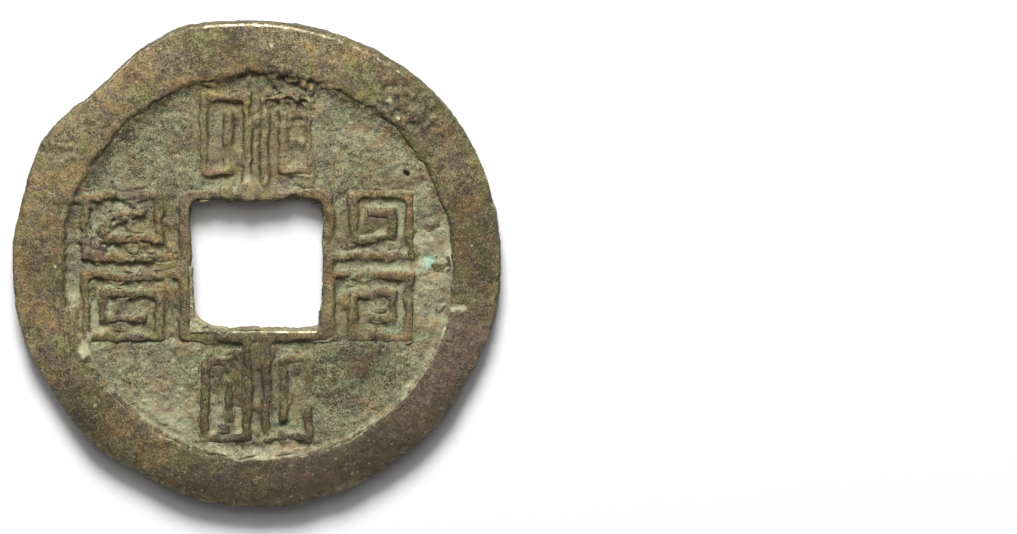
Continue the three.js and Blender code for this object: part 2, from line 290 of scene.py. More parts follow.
def near(values, full, none):
    """1 where a value is within full of zero, and 0 from none on."""
    return 1 - ramp(np.abs(values), full, none)


def bearing(points):
    """The direction of each point from the middle, in degrees from +X towards +Y."""
    return np.degrees(np.arctan2(points[:, 1], points[:, 0])) % 360


def reach_of(points):
    """How far each point lies from the coin's axis."""
    return np.hypot(points[:, 0], points[:, 1])


def wall_distance(points):
    """How far each point lies outside the wall of its face's field. Less than 0 is inside the field."""
    up = points[:, 2] > MIDDLE
    middle = np.where(up[:, None], OBVERSE_FIELD[:2], REVERSE_FIELD[:2])
    return np.hypot(*(points[:, :2] - middle).T) - np.where(up, OBVERSE_FIELD[2], REVERSE_FIELD[2])


def by_place(points, places, base=0):
    """The base, and what each place adds to it, less with the distance from it."""
    values = np.full(len(points), float(base))
    for x, y, spread, amount in places:
        away = (points[:, 0] - x) ** 2 + (points[:, 1] - y) ** 2
        values += amount * np.exp(-away / (2 * spread * spread))
    return values


def by_face(points, obverse, reverse, base=0):
    """As by_place, with places of its own for each face."""
    return np.where(points[:, 2] > MIDDLE, by_place(points, obverse, base), by_place(points, reverse, base))


def paleness(points):
    """How pale the earth is at each point, from 0 to 1: darkest under the upper wall of a field, partly
    dirt and partly painted shade, and paler at the foot of the lower wall, partly deposit and partly
    painted light.
    """
    pale = by_face(points, PALE_OBVERSE, PALE_REVERSE, EARTH_PALENESS)
    direction, from_wall = bearing(points), wall_distance(points)
    # Painted shade under the upper wall and painted light at the foot of the lower wall, as the lamp at the
    # top leaves them.
    pale -= 0.45 * band(direction, *UPPER_WALL_ARC) * ramp(from_wall, -1.1, -0.2)
    pale += 0.18 * band(direction, *LOWER_WALL_ARC) * ramp(from_wall, -0.9, -0.2)
    return np.clip(pale, 0, 1)


def tone_and_painted_shade(points):
    """How much lighter or darker the brass is: its own tone by place, with painted shade along the lower
    outer edge and on the reverse's ledge, most of all above the hole.
    """
    x, y, z = points.T
    # Painted shade: the outer edge is darker along the lower arc, which faces away from the lamp.
    edge = band(bearing(points), *LOWER_EDGE_ARC) * ramp(reach_of(points), 10.9, 11.8)
    # Painted shade on the reverse's ledge: strong above the hole, weaker beside it.
    over_hole = band(y, (3.1, 3.3), (3.9, 4.15)) * band(x, (-4.6, -4), (1.6, 2.6))
    beside_hole = band(-x, (3.6, 3.9), (4.6, 4.9)) * band(y, (-3.6, -3), (3, 4))
    ledge = (0.9 * over_hole + 0.18 * beside_hole) * (z < MIDDLE)
    return by_face(points, TONE_AND_PAINTED_SHADE_OBVERSE, TONE_AND_PAINTED_SHADE_REVERSE) - 0.3 * edge - ledge


# Modelling

def take(*pieces):
    """Selects these pieces alone and makes the first of them active."""
    bpy.ops.object.select_all(action="DESELECT")
    for piece in pieces:
        piece.select_set(True)
    bpy.context.view_layer.objects.active = pieces[0]


def finish_modifier(piece, kind, **settings):
    """Adds a modifier with these settings and applies it."""
    take(piece)
    modifier = piece.modifiers.new(kind.title(), kind)
    for key, value in settings.items():
        setattr(modifier, key, value)
    bpy.ops.object.modifier_apply(modifier=modifier.name)


def clouds(size, depth=2, low=0.0, high=1.0, **settings):
    """A cloudy texture for a Displace modifier, sized in millimetres: 0 up to low and 1 from high."""
    texture = bpy.data.textures.new("clouds", "CLOUDS")
    texture.noise_scale = size
    texture.noise_depth = depth
    texture.use_color_ramp = True
    ends = texture.color_ramp.elements
    for end, place, shade in ((ends[0], low, 0), (ends[1], high, 1)):
        end.position = place
        end.color = (shade, shade, shade, 1)
    for key, value in settings.items():
        setattr(texture, key, value)
    return texture


def displace(piece, strength, texture=None, direction="NORMAL", middle=0.5, group=""):
    finish_modifier(
        piece,
        "DISPLACE",
        texture=texture,
        texture_coords="LOCAL",
        strength=strength,
        direction=direction,
        mid_level=middle,
        vertex_group=group,
    )


def points_of(piece):
    points = np.empty(len(piece.data.vertices) * 3, np.float32)
    piece.data.vertices.foreach_get("co", points)
    return points.reshape(-1, 3).astype(float)


def normals_of(piece):
    normals = np.empty(len(piece.data.vertices) * 3, np.float32)
    piece.data.vertex_normals.foreach_get("vector", normals)
    return normals.reshape(-1, 3).astype(float)


def set_group(piece, name, weights):
    """Gives a piece a vertex group with these weights, rounded to twentieths."""
    group = piece.vertex_groups.new(name=name)
    steps = np.round(np.asarray(weights) * 20).astype(int)
    for step in range(1, 21):
        found = np.flatnonzero(steps == step)
        if len(found):
            group.add(found.tolist(), step / 20, "REPLACE")


def set_attributes(piece, **attributes):
    """Stores values at each point of a piece, for the finish."""
    for name, values in attributes.items():
        attribute = piece.data.attributes.new(name, "FLOAT", "POINT")
        attribute.data.foreach_set("value", np.asarray(values, np.float32))


def smooth(piece, steps, group="", factor=0.5):
    finish_modifier(piece, "SMOOTH", factor=factor, iterations=steps, vertex_group=group)


def fill_voxels(piece, size):
    """Makes a fine even mesh of all that a piece encloses. The size is in millimetres."""
    finish_modifier(piece, "REMESH", mode="VOXEL", voxel_size=size)


def cut(piece, tool):
    """Cuts a tool's shape from a piece and removes the tool."""
    finish_modifier(piece, "BOOLEAN", operation="DIFFERENCE", object=tool, solver="MANIFOLD")
    bpy.data.objects.remove(tool)


def push(piece, name, weights, shift, axis="Z", texture=None):
    """Moves a piece's points along an axis, each as far as its weight says."""
    set_group(piece, name, weights)
    displace(piece, shift, texture, axis, 0, name)


def hollowness(piece, steps):
    """How far each point lies under the same surface smoothed, in millimetres. Edges give less than 0."""
    take(piece)
    bpy.ops.object.duplicate()
    smoothed = bpy.context.object
    smooth(smoothed, steps)
    depth = np.einsum("ij,ij->i", points_of(smoothed) - points_of(piece), normals_of(piece))
    bpy.data.objects.remove(smoothed)
    return depth


def copy_of_node(node, name):
    """A merged copy of a node of the frame, in millimetres."""
    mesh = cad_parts[node].data.copy()
    mesh.name = name
    mesh.materials.clear()
    mesh.transform(Matrix.Scale(1 / MM, 4))
    piece = bpy.data.objects.new(name, mesh)
    bpy.context.scene.collection.objects.link(piece)
    take(piece)
    bpy.ops.object.mode_set(mode="EDIT")
    bpy.ops.mesh.select_all(action="SELECT")
    bpy.ops.mesh.remove_doubles(threshold=WELD)
    bpy.ops.object.mode_set(mode="OBJECT")
    return piece


def joined(pieces, name):
    """Several pieces made one."""
    take(*pieces)
    bpy.ops.object.join()
    bpy.context.object.name = name
    return bpy.context.object


def added(scale):
    """The piece that was just added, scaled, with its place kept in its mesh."""
    piece = bpy.context.object
    piece.scale = scale
    bpy.ops.object.transform_apply(location=True, rotation=True, scale=True)
    return piece


def ball(place, radius, flat=1.0, detail=3):
    bpy.ops.mesh.primitive_ico_sphere_add(subdivisions=detail, radius=radius, location=place)
    return added((1, 1, flat))


def block(low, high):
    """A block between two corners."""
    low, high = Vector(low), Vector(high)
    bpy.ops.mesh.primitive_cube_add(size=1, location=(low + high) / 2)
    return added(high - low)


def finish_piece(piece, node, material):
    """Brings a piece back to metres, gives it its material and puts it in a node's place."""
    piece.data.transform(Matrix.Scale(MM, 4))
    piece.vertex_groups.clear()
    piece.data.materials.clear()
    piece.data.materials.append(material)
    take(piece)
    bpy.ops.object.shade_smooth()
    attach(piece, "root")
    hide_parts(node)


# The casting

# The share of a face, in percent, that stands highest and is rubbed flat.
RUBBED_FLAT = 1.5
# What the outline's few highest points lose.
OUTLINE_SPARE = 0.03

# Bites out of the outer edge: degrees from +X towards +Y, radius of the bite, its depth and its height.
EDGE_BITES = [
    (128.0, 0.42, 0.16, 1.25), (104.0, 0.35, 0.1, 1.45), (85.0, 0.3, 0.1, 1.45),
    (89.5, 0.22, 0.07, 1.5), (74.0, 0.28, 0.08, 1.5), (57.0, 0.2, 0.05, 1.5), (141.0, 0.2, 0.07, 1.4),
    (151.5, 0.25, 0.06, 1.3), (187.0, 0.3, 0.08, 1.3), (196.0, 0.22, 0.07, 1.2),
    (222.0, 0.3, 0.07, 1.2), (311.0, 0.5, 0.1, 0.9), (345.0, 0.4, 0.12, 1.0), (352.0, 0.2, 0.06, 1.4),
    (15.0, 0.3, 0.06, 1.4),
]

# Pits in the obverse: x, y, half their width and their depth.
FACE_PITS = [
    (-9.58, 5.6, 0.24, 0.09), (7.4, 8.85, 0.3, 0.1), (7.9, 7.25, 0.34, 0.08), (6.6, 8.2, 0.42, 0.08),
    (-8.15, -6.45, 0.3, 0.1), (-7.75, -6.1, 0.2, 0.07), (9.95, -2.1, 0.38, 0.09),
    (10.3, -2.15, 0.25, 0.07), (-0.95, 10.75, 0.3, 0.06), (3.9, 9.1, 0.25, 0.07),
    (-10.3, 1.9, 0.3, 0.05), (10.6, 1.05, 0.2, 0.05), (-5.6, -9.4, 0.25, 0.06), (4.4, -9.9, 0.3, 0.05),
]

# A bite is this much taller than it is wide, and a lump in the hole this much flatter.
BITE_TALL = 1.3
LUMP_FLAT = 0.7
# How far inside the frame's outline the bites begin, because the worn outline lies there.
BITE_INSET = 0.1

# The hole's upper wall, and lumps of cast metal on it: x, height, radius and reach into the hole.
HOLE_TOP = 3.125
UPPER_WALL, LOWER_WALL, RIGHT_WALL = 3.1, -3.2, 3.2
HOLE_LUMPS = [
    (-2.6, 1.1, 0.45, 0.14), (-1.5, 1.3, 0.5, 0.08), (-0.35, 1.25, 0.6, 0.14), (0.75, 1.15, 0.5, 0.1),
    (2.9, 0.9, 0.5, 0.2),
]

# Bites out of the hole's upper edge: x, height, radius and depth.
HOLE_BITES = [
    (1.85, 1.3, 0.5, 0.22), (-0.9, 1.45, 0.4, 0.08), (-2.1, 1.45, 0.3, 0.07),
]


def bites():
    """All that is cut from the casting, as one piece."""
    cuts = [
        ball((x, HOLE_TOP - radius + depth, height), radius, BITE_TALL)
        for x, height, radius, depth in HOLE_BITES
    ]
    for degrees, radius, depth, height in EDGE_BITES:
        turn = math.radians(degrees)
        reach = OUTLINE - BITE_INSET + radius - depth
        cuts.append(ball((reach * math.cos(turn), reach * math.sin(turn), height), radius, BITE_TALL))
    for x, y, half, depth in FACE_PITS:
        radius = (half * half + depth * depth) / (2 * depth)
        cuts.append(ball((x, y, THICKNESS + radius - depth), radius))
    return joined(cuts, "bites")


def hole_lumps():
    """Lumps on the upper wall of the hole."""
    return [
        ball((x, HOLE_TOP + radius - reach, height), radius, LUMP_FLAT)
        for x, height, radius, reach in HOLE_LUMPS
    ]


def round_casting(piece, settings):
    """Rounds every edge a little, the ornament more and the walls of the fields most."""
    points = points_of(piece)
    from_wall = wall_distance(points)
    smooth(piece, settings.rounding)
    for name, weights, times in (
        ("fields", 1 - ramp(from_wall, 0, 0.5), 4),
        ("walls", near(from_wall, 0.3, 0.8), 5),
        ("outer", ramp(reach_of(points), 10.9, 11.3), 4),
    ):
        set_group(piece, name, weights)
        smooth(piece, settings.rounding * times, name)


def lean_hole(piece):
    """Leans the walls of the hole as a file left them, and draws in its lower right corner."""
    x, y, z = points_of(piece).T
    within, raised = near(x, 3.1, 3.5), ramp(z, 0.5, 1.5)
    corner = near(x - RIGHT_WALL, 0.2, 0.6) * band(y, (-3.7, -3.3), (-3.1, -1.6))
    push(piece, "upper_wall", near(y - UPPER_WALL, 0.2, 0.6) * within * raised, 0.13, "Y")
    push(piece, "lower_wall", near(y - LOWER_WALL, 0.2, 0.6) * within * (1 - raised), 0.08, "Y")
    push(piece, "corner", corner, -0.15, "X")


def heaped(points):
    """How high earth has gathered at the foot of a field's wall, as a share: most along the bottom."""
    below = band(bearing(points), *HEAPED_ARC)
    wide = 0.45 + 0.75 * below
    return np.clip(1 + wall_distance(points) / wide, 0, 1) ** 2 * (0.45 + 0.55 * below)


def sunken(points):
    """How far each point lies under its face, as a share of the field's depth."""
    z = points[:, 2]
    obverse = (THICKNESS - z) / (THICKNESS - OBVERSE_FLOOR)
    return np.clip(np.where(z > MIDDLE, obverse, z / REVERSE_FLOOR), 0, 1)


# How far the ornament reaches from the middle, beside the hole and above it.
ORNAMENT = (2.9, 3.9)
# How high the low parts of the obverse's ornament are filled up.
FUSED = 0.13
# What share of the obverse's loss of height the reverse's relief has.
REVERSE_RUBBED = 0.3


def wear_casting(piece, settings):
    """Rubs and roughens the fine mesh of the casting."""
    points = points_of(piece)
    x, y, z = points.T
    reach, from_wall = reach_of(points), wall_distance(points)
    inside, obverse = from_wall < 0, z > MIDDLE
    heap, heap_height = heaped(points) * sunken(points), settings.heaped / MM
    push(piece, "obverse_heap", heap * obverse, heap_height)
    push(piece, "reverse_heap", heap * ~obverse, -heap_height)
    ornament = inside * ((np.abs(x) < ORNAMENT[0]) | (np.abs(y) < ORNAMENT[1]))
    rubbed, uneven_rub = settings.rubbed / MM, clouds(1.7, 2, 0.45, 0.65)
    fused = ornament * ramp(z, 1.3, 1.2) * obverse
    push(piece, "obverse_fused", fused, FUSED, texture=clouds(0.9, 1, 0.5, 0.66))
    push(piece, "obverse_relief", inside * ramp(z, 1.25, 1.4), -rubbed, texture=uneven_rub)
    worn = inside * (1 - ramp(z, 0.1, 0.25))
    push(piece, "reverse_relief", worn, rubbed * REVERSE_RUBBED, texture=uneven_rub)
    outward, domed = ramp(reach, 10.2, OUTLINE) ** 1.5, settings.domed / MM
    push(piece, "obverse_rim", outward * ramp(z, MIDDLE, THICKNESS), -domed)
    push(piece, "reverse_rim", outward * (1 - ramp(z, 0, MIDDLE)), domed)
    lower_edge = near(y + 3.3, 0.2, 0.6) * near(x, 3.2, 3.6)
    set_group(piece, "inner", (1 - 0.75 * ramp(reach, 10.3, 11.2)) * (1 - 0.7 * lower_edge))
    set_group(piece, "wall_band", near(from_wall, 0.3, 0.7))
    ragged = settings.ragged / MM
    for size, share, place in ((1.4, 1, "inner"), (0.6, 0.3, "inner"), (0.8, 0.7, "wall_band")):
        for axis, basis in (("X", "ORIGINAL_PERLIN"), ("Y", "BLENDER_ORIGINAL")):
            displace(piece, ragged * share, clouds(size, 1, noise_basis=basis), axis, group=place)
    chipped = ramp(reach, 10.9, 11.4) * (0.2 + 0.8 * band(bearing(points), *CHIPPED_ARC))
    set_group(piece, "chipped", chipped)
    for axis, size in (("X", 0.8), ("Y", 0.7)):
        displace(piece, ragged * 0.5, clouds(size, 3), axis, group="chipped")
    uneven = settings.uneven / MM
    displace(piece, uneven, clouds(2.6, contrast=1.3))
    displace(piece, uneven * 0.8, clouds(0.8, 3, contrast=1.5))
    displace(piece, settings.pitted / MM, clouds(0.24, 3, contrast=1.8), middle=0.6)
    set_group(piece, "corroded", by_face(points, CORRODED_OBVERSE, CORRODED_REVERSE).clip(0, 1))
    displace(piece, settings.corroded / MM, clouds(0.42, 3, contrast=2.0), middle=0.6, group="corroded")
    smooth(piece, 1, factor=0.4)


# Bare metal along the top of the outer edge, painted as a highlight: degrees, how far inside the outline it
# lies and how much of it shows.
BARE_HIGHLIGHT_EDGE = [
    (32, 0.34, 0.0), (45, 0.34, 0.3), (60, 0.3, 0.55), (75, 0.26, 0.55), (88, 0.2, 0.75),
    (99, 0.2, 0.8), (108, 0.2, 0.5), (122, 0.16, 0.45), (138, 0.14, 0.35), (160, 0.1, 0.0),
]
BARE_WIDTH = 0.07
# The outline is measured in sectors of so many degrees, and the hole's lower edge in strips from its left.
SECTOR = 2
STRIPS, STRIPS_START, STRIP = 35, -3.4, 0.2


def from_outline(points):
    """How far inside the coin's outline each point lies."""
    reach = reach_of(points)
    farthest = np.zeros(360 // SECTOR)
    np.maximum.at(farthest, (bearing(points) / SECTOR).astype(int), reach)
    middles = (np.arange(len(farthest)) + 0.5) * SECTOR
    return np.interp(bearing(points), middles, farthest, period=360) - reach


def from_lower_wall(points):
    """How far below the hole's lower wall each point lies, seen from above the obverse."""
    x, y, z = points.T
    face = (z > z.max() - 0.15) & (np.abs(x) < 3.3) & (y > -3.7) & (y < -3)
    strips = np.round((x - STRIPS_START) / STRIP).astype(int).clip(0, STRIPS - 1)
    nearest = np.full(STRIPS, -3.3)
    np.maximum.at(nearest, strips[face], y[face])
    return np.interp(x, np.arange(STRIPS) * STRIP + STRIPS_START, nearest) - y


def bare_edge_highlights(points):
    """Where bare metal shows, painted as a bright highlight: along the top of the outline and under the
    hole, on edges that face the lamp.
    """
    degrees, inside, shown = np.array(BARE_HIGHLIGHT_EDGE).T
    here = bearing(points)
    away = from_outline(points) - np.interp(here, degrees, inside)
    along_top = np.interp(here, degrees, shown, 0, 0) * np.exp(-((away / BARE_WIDTH) ** 2))
    x, y, z = points.T
    under_hole = 0.62 * np.exp(-((from_lower_wall(points) / 0.05) ** 2)) * near(x, 3.0, 3.2) * (z > MIDDLE)
    behind = 0.64 * np.exp(-(((y + 3.3) / 0.14) ** 2)) * band(x, (-2.4, -1.4), (2.6, 3.0)) * (z < MIDDLE)
    return np.maximum(along_top, under_hole + behind) * ramp(np.abs(z - MIDDLE), 0.2, 0.35)


def walls(normals):
    """Where the dark skin of steep walls shows, kept off the walls that face the lamp at the top so that it
    is partly painted shade, and where such a lit wall is painted pale, as painted light.
    """
    steep = near(normals[:, 2], 0.45, 0.93)
    # How far a wall faces the lamp at the top.
    pale = ramp(normals[:, 1], 0.0, 0.4)
    return steep * (1 - 0.9 * pale), steep * pale


# Pale earth and painted light at the foot of the obverse's lower wall: degrees, how far up it reaches and
# how much shows.
PALE_AND_LIT_SLOPE = [
    (180, -0.2, 0.0), (200, -0.15, 0.4), (230, -0.15, 0.6), (255, -0.1, 0.7), (264, 0.0, 0.75),
    (280, 0.0, 0.7), (295, -0.05, 0.75), (315, 0.12, 0.95), (340, 0.15, 0.95), (358, 0.05, 0.6),
]


def pale_and_lit_slope(points):
    """Where pale earth covers the foot of the lower wall, painted paler as lit because the slope faces the
    lamp.
    """
    degrees, reach, shown = np.array(PALE_AND_LIT_SLOPE).T
    here, away = bearing(points), wall_distance(points)
    reach = np.interp(here, degrees, reach)
    covered = ramp(away, -0.9, -0.5) * (1 - ramp(away, reach - 0.15, reach + 0.15))
    return np.interp(here, degrees, shown, 0, 0) * covered * (points[:, 2] > MIDDLE)


def mark_casting(piece):
    """Stores on the fine mesh what the finish needs to know of its shape."""
    points, normals = points_of(piece), normals_of(piece)
    # Creases stay dark only where they face away from the lamp at the top: painted shade.
    shaded = 1 - 0.85 * ramp(normals[:, 1], -0.15, 0.15)
    wall, pale_wall = walls(normals)
    set_attributes(
        piece,
        crease=hollowness(piece, 6) * shaded,
        hollow=hollowness(piece, 70),
        # The wall skin and the creases carry painted shade, and the pale walls and bare edges painted
        # light, besides patina, earth and wear.
        wall=wall,
        pale_wall=np.maximum(pale_wall, pale_and_lit_slope(points)),
        bare=bare_edge_highlights(points),
        brown=by_face(points, BROWN_OBVERSE, BROWN_REVERSE) + ramp(reach_of(points), 10.2, 10.7),
        mark=by_face(points, MARKS_OBVERSE, MARKS_REVERSE),
        dusky=by_face(points, DUSKY_OBVERSE, DUSKY_REVERSE),
        salty=by_face(points, SALTY_OBVERSE, SALTY_REVERSE),
        pale=paleness(points),
        shade=tone_and_painted_shade(points),
    )


def fit_to_frame(piece):
    """Brings a piece to the frame's box. What stands above a face's general level is rubbed flat."""
    points = points_of(piece)
    low, high = points.min(0) + OUTLINE_SPARE, points.max(0) - OUTLINE_SPARE
    low[2], high[2] = np.percentile(points[:, 2], (RUBBED_FLAT, 100 - RUBBED_FLAT))
    frame_low, frame_high = np.array(cad_low) / MM, np.array(cad_high) / MM
    fitted = (points - low) / (high - low) * (frame_high - frame_low) + frame_low
    fitted = np.clip(fitted, frame_low, frame_high)
    piece.data.vertices.foreach_set("co", fitted.astype(np.float32).ravel())
    piece.data.update()


class COIN_OT_shape_casting(Operator):
    """Models the worn casting with its rims, border, frets and bead strings"""

    bl_idname = "coin.shape_casting"
    bl_label = "Shape Casting"

    def execute(self, context):
        settings = context.scene.cash_coin.casting
        piece = copy_of_node("coin_casting", "coin")
        cut(piece, bites())
        piece = joined([piece, *hole_lumps()], "coin")
        fill_voxels(piece, settings.voxel / MM)
        round_casting(piece, settings)
        lean_hole(piece)
        wear_casting(piece, settings)
        mark_casting(piece)
        piece.data.calc_loop_triangles()
        share = settings.triangles / len(piece.data.loop_triangles)
        finish_modifier(piece, "DECIMATE", ratio=min(1, share), use_collapse_triangulate=True)
        fit_to_frame(piece)
        finish_piece(piece, "coin_casting", brass_material(context.scene.cash_coin.finish))
        return {"FINISHED"}


# The crusts

# How thick each crust lies, in millimetres.
CRUSTS = {
    "obverse_upper_left_earth": 0.1,
    "obverse_upper_right_earth": 0.11,
    "obverse_lower_left_earth": 0.11,
    "obverse_lower_right_earth": 0.09,
    "obverse_right_crescent_earth": 0.12,
    "reverse_top_earth": 0.1,
    "reverse_bottom_earth": 0.1,
    "reverse_left_earth": 0.11,
    "reverse_right_earth": 0.11,
}

# Pits in the obverse's crusts: x, y, how far each spreads and how much of the depth it has.
CRUST_PITS = [
    (7.42, 4.5, 0.11, 1.0), (7.24, 4.62, 0.09, 0.6), (-6.2, 4.2, 0.09, 0.5), (4.1, -5.3, 0.1, 0.5),
    (3.3, 6.7, 0.1, 0.6),
]
CRUST_PIT_DEPTH = 0.14

# How far a crust's edge wanders from its node's, over what distance, and the seed of that noise.
CRUST_WANDER = 0.22
CRUST_WANDER_SIZE = 0.9
CRUST_SEED = 5


def crust_weights(points, node, feather):
    """1 over the node, and less with the distance from it."""
    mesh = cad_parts[node].data
    corners = [vertex.co / MM for vertex in mesh.vertices]
    tree = BVHTree.FromPolygons(corners, [tuple(face.vertices) for face in mesh.polygons])
    level = sum(corner.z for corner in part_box(node)) / 2 / MM
    weights = np.zeros(len(points))
    for index, point in enumerate(points):
        x, y, _ = Vector(point) + noise_vector(Vector(point) / CRUST_WANDER_SIZE) * CRUST_WANDER
        if tree.ray_cast(Vector((x, y, -THICKNESS)), Vector((0, 0, 1)))[0]:
            weights[index] = 1
            continue
        found = tree.find_nearest(Vector((x, y, level)), feather)
        if found[0]:
            weights[index] = 1 - found[3] / feather
    return ramp(weights, 0, 1)


def crust_sheet(node, settings):
    """A fine level grid over a node and a little beyond it."""
    cell, feather = settings.cell / MM, settings.feather / MM
    low, high = (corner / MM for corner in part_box(node))
    size = high - low + Vector((2 * feather, 2 * feather, 0))
    middle = (low + high) / 2
    bpy.ops.mesh.primitive_grid_add(
        x_subdivisions=round(size.x / cell),
        y_subdivisions=round(size.y / cell),
        size=1,
        location=(middle.x, middle.y, 0),
    )
    piece = added((size.x, size.y, 1))
    piece.name = node.replace("earth", "crust")
    return piece


def keep_where(piece, keep):
    """Deletes the points of a piece where keep is false."""
    take(piece)
    bpy.ops.object.mode_set(mode="EDIT")
    bpy.ops.mesh.select_mode(type="VERT")
    bpy.ops.mesh.select_all(action="DESELECT")
    bpy.ops.object.mode_set(mode="OBJECT")
    piece.data.vertices.foreach_set("select", ~keep)
    bpy.ops.object.mode_set(mode="EDIT")
    bpy.ops.mesh.delete(type="VERT")
    bpy.ops.object.mode_set(mode="OBJECT")


def close_below(piece, depth):
    """Draws the rim of an open sheet down and fills it, so that the sheet is a closed body."""
    take(piece)
    bpy.ops.object.mode_set(mode="EDIT")
    bpy.ops.mesh.select_mode(type="EDGE")
    bpy.ops.mesh.select_all(action="DESELECT")
    bpy.ops.mesh.select_non_manifold(extend=False, use_wire=False, use_boundary=True, use_multi_face=False)
    bpy.ops.mesh.extrude_region_move(TRANSFORM_OT_translate={"value": (0, 0, depth)})
    bpy.ops.mesh.edge_face_add()
    bpy.ops.mesh.select_all(action="SELECT")
    bpy.ops.mesh.normals_make_consistent(inside=False)
    bpy.ops.object.mode_set(mode="OBJECT")


def thinned(points):
    """What is left of a crust's thickness: little at the foot of a field's lower wall."""
    return 1 - 0.85 * band(bearing(points), *THINNED_ARC) * ramp(wall_distance(points), -0.6, -0.2)


def lay_crust(node, settings, heap_height, material):
    """Models one crust of earth on the floor of its field."""
    piece = crust_sheet(node, settings)
    weights = crust_weights(points_of(piece), node, settings.feather / MM)
    keep_where(piece, weights > 0)
    weights = weights[weights > 0]
    outward, floor = (1, OBVERSE_FLOOR) if node.startswith("obverse") else (-1, REVERSE_FLOOR)
    sunk, lumpy, grainy = settings.sunk / MM, settings.lumpy / MM, settings.grainy / MM
    piece.data.transform(Matrix.Translation((0, 0, floor - outward * sunk)))
    push(piece, "crust", weights * thinned(points_of(piece)), outward * (sunk + CRUSTS[node]))
    push(piece, "heap", heaped(points_of(piece)) * weights, outward * heap_height)
    displace(piece, outward * lumpy, clouds(1.1, contrast=1.5), "Z", group="crust")
    displace(piece, outward * lumpy * 0.6, clouds(0.38, 3, contrast=1.6), "Z", group="crust")
    displace(piece, outward * grainy, clouds(0.13, 2, contrast=2), "Z", group="crust")
    pits = by_face(points_of(piece), CRUST_PITS, []).clip(0, 1)
    push(piece, "pits", pits, -outward * CRUST_PIT_DEPTH)
    points = points_of(piece)
    set_attributes(
        piece,
        pit=pits,
        # The crease darkens the crust in the earth material, as painted shade.
        crease=hollowness(piece, 3) * outward * ramp(weights, 0.05, 0.4),
        hollow=hollowness(piece, 30) * outward,
        pale=paleness(points),
        salty=by_face(points, SALTY_OBVERSE, SALTY_REVERSE),
    )
    close_below(piece, -outward * sunk)
    finish_piece(piece, node, material)


class COIN_OT_lay_crusts(Operator):
    """Lays the crusts of old earth on the fields of both faces"""

    bl_idname = "coin.lay_crusts"
    bl_label = "Lay Crusts"

    def execute(self, context):
        coin = context.scene.cash_coin
        material = earth_material(coin.finish)
        seed_set(CRUST_SEED)
        for node in CRUSTS:
            lay_crust(node, coin.crust, coin.casting.heaped / MM, material)
        return {"FINISHED"}


# The hole's lower left corner, and how far earth reaches along its lower and left walls.
HOLE_CORNER = (-3.2, -3.22)
CORNER_REACH = (1.75, 1.2)
CORNER_SUNK = 0.1
CORNER_THIN = 0.06
# How far a strip farther up the left wall stands out and reaches.
STRIP_WIDTH = 0.12
STRIP_REACH = 3.1
# Heights between which the earth in the corner and the strip lie, and the length of what rounds the corner.
CORNER_HEIGHTS = (0.4, THICKNESS - 0.06)
STRIP_HEIGHTS = (0.5, THICKNESS - 0.1)
CORNER_CUT = 4
CORNER_VOXEL = 0.025
CORNER_PALENESS = 0.85


class COIN_OT_pack_hole_corner(Operator):
    """Packs old earth into the lower left corner of the string hole and up its left wall"""

    bl_idname = "coin.pack_hole_corner"
    bl_label = "Pack Hole Corner"

    def execute(self, context):
        coin = context.scene.cash_coin
        left, low = HOLE_CORNER
        across, up = CORNER_REACH
        hidden = left - CORNER_SUNK
        bottom, top = CORNER_HEIGHTS
        fillet = block((hidden, low - CORNER_SUNK, bottom), (left + across, low + up, top))
        bottom, top = STRIP_HEIGHTS
        strip = block((hidden, low + up / 2, bottom), (left + STRIP_WIDTH, low + STRIP_REACH, top))
        for vertex in strip.data.vertices:
            if vertex.co.y > low + up:
                vertex.co.x = min(vertex.co.x, left)
        place = (left + across, low + up, MIDDLE)
        bpy.ops.mesh.primitive_cylinder_add(vertices=64, radius=1, depth=CORNER_CUT, location=place)
        hollow = bpy.context.object
        hollow.scale = (across - CORNER_THIN, up - CORNER_THIN, 1)
        cut(fillet, hollow)
        piece = joined([fillet, strip], "hole_corner_crust")
        fill_voxels(piece, CORNER_VOXEL)
        smooth(piece, 5)
        displace(piece, 0.12, clouds(0.5, contrast=1.4))
        displace(piece, 0.06, clouds(0.15, 3, contrast=1.8))
        pale = np.full(len(piece.data.vertices), CORNER_PALENESS)
        # Its crease darkens it in the earth material, as painted shade.
        set_attributes(piece, crease=hollowness(piece, 3), hollow=hollowness(piece, 20), pale=pale)
        material = bpy.data.materials.get("old_earth") or earth_material(coin.finish)
        finish_piece(piece, "hole_corner_earth", material)
        return {"FINISHED"}


# The grains of copper salts, their radii, and the seed of their places.
GRAINS = 110
GRAIN_RADII = (0.035, 0.1)
GRAIN_SEED = 5
SALTS_VOXEL = 0.022


class COIN_OT_grow_salts(Operator):
    """Grows a patch of copper salts, a cluster of small grains, on the reverse"""

    bl_idname = "coin.grow_salts"
    bl_label = "Grow Salts"

    def execute(self, context):
        coin = context.scene.cash_coin
        low, high = (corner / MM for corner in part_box("verdigris_patch"))
        middle, half = (low + high) / 2, (high.x - low.x) / 2
        chance = random.Random(GRAIN_SEED)
        grains = []
        for _ in range(GRAINS):
            turn = chance.uniform(0, 2 * math.pi)
            out = (half - 0.04) * chance.random() ** 0.6
            radius = chance.uniform(*GRAIN_RADII) * (1 - 0.4 * out / half)
            place = (middle.x + out * math.cos(turn), middle.y + out * math.sin(turn), high.z - 0.02)
            grains.append(ball(place, radius, chance.uniform(0.5, 1.1), 2))
        piece = joined(grains, "verdigris_grains")
        fill_voxels(piece, SALTS_VOXEL)
        displace(piece, 0.04, clouds(0.08, 2, contrast=1.6))
        set_attributes(piece, crease=hollowness(piece, 4))
        finish_piece(piece, "verdigris_patch", salts_material(coin.finish))
        return {"FINISHED"}


# Shader nodes

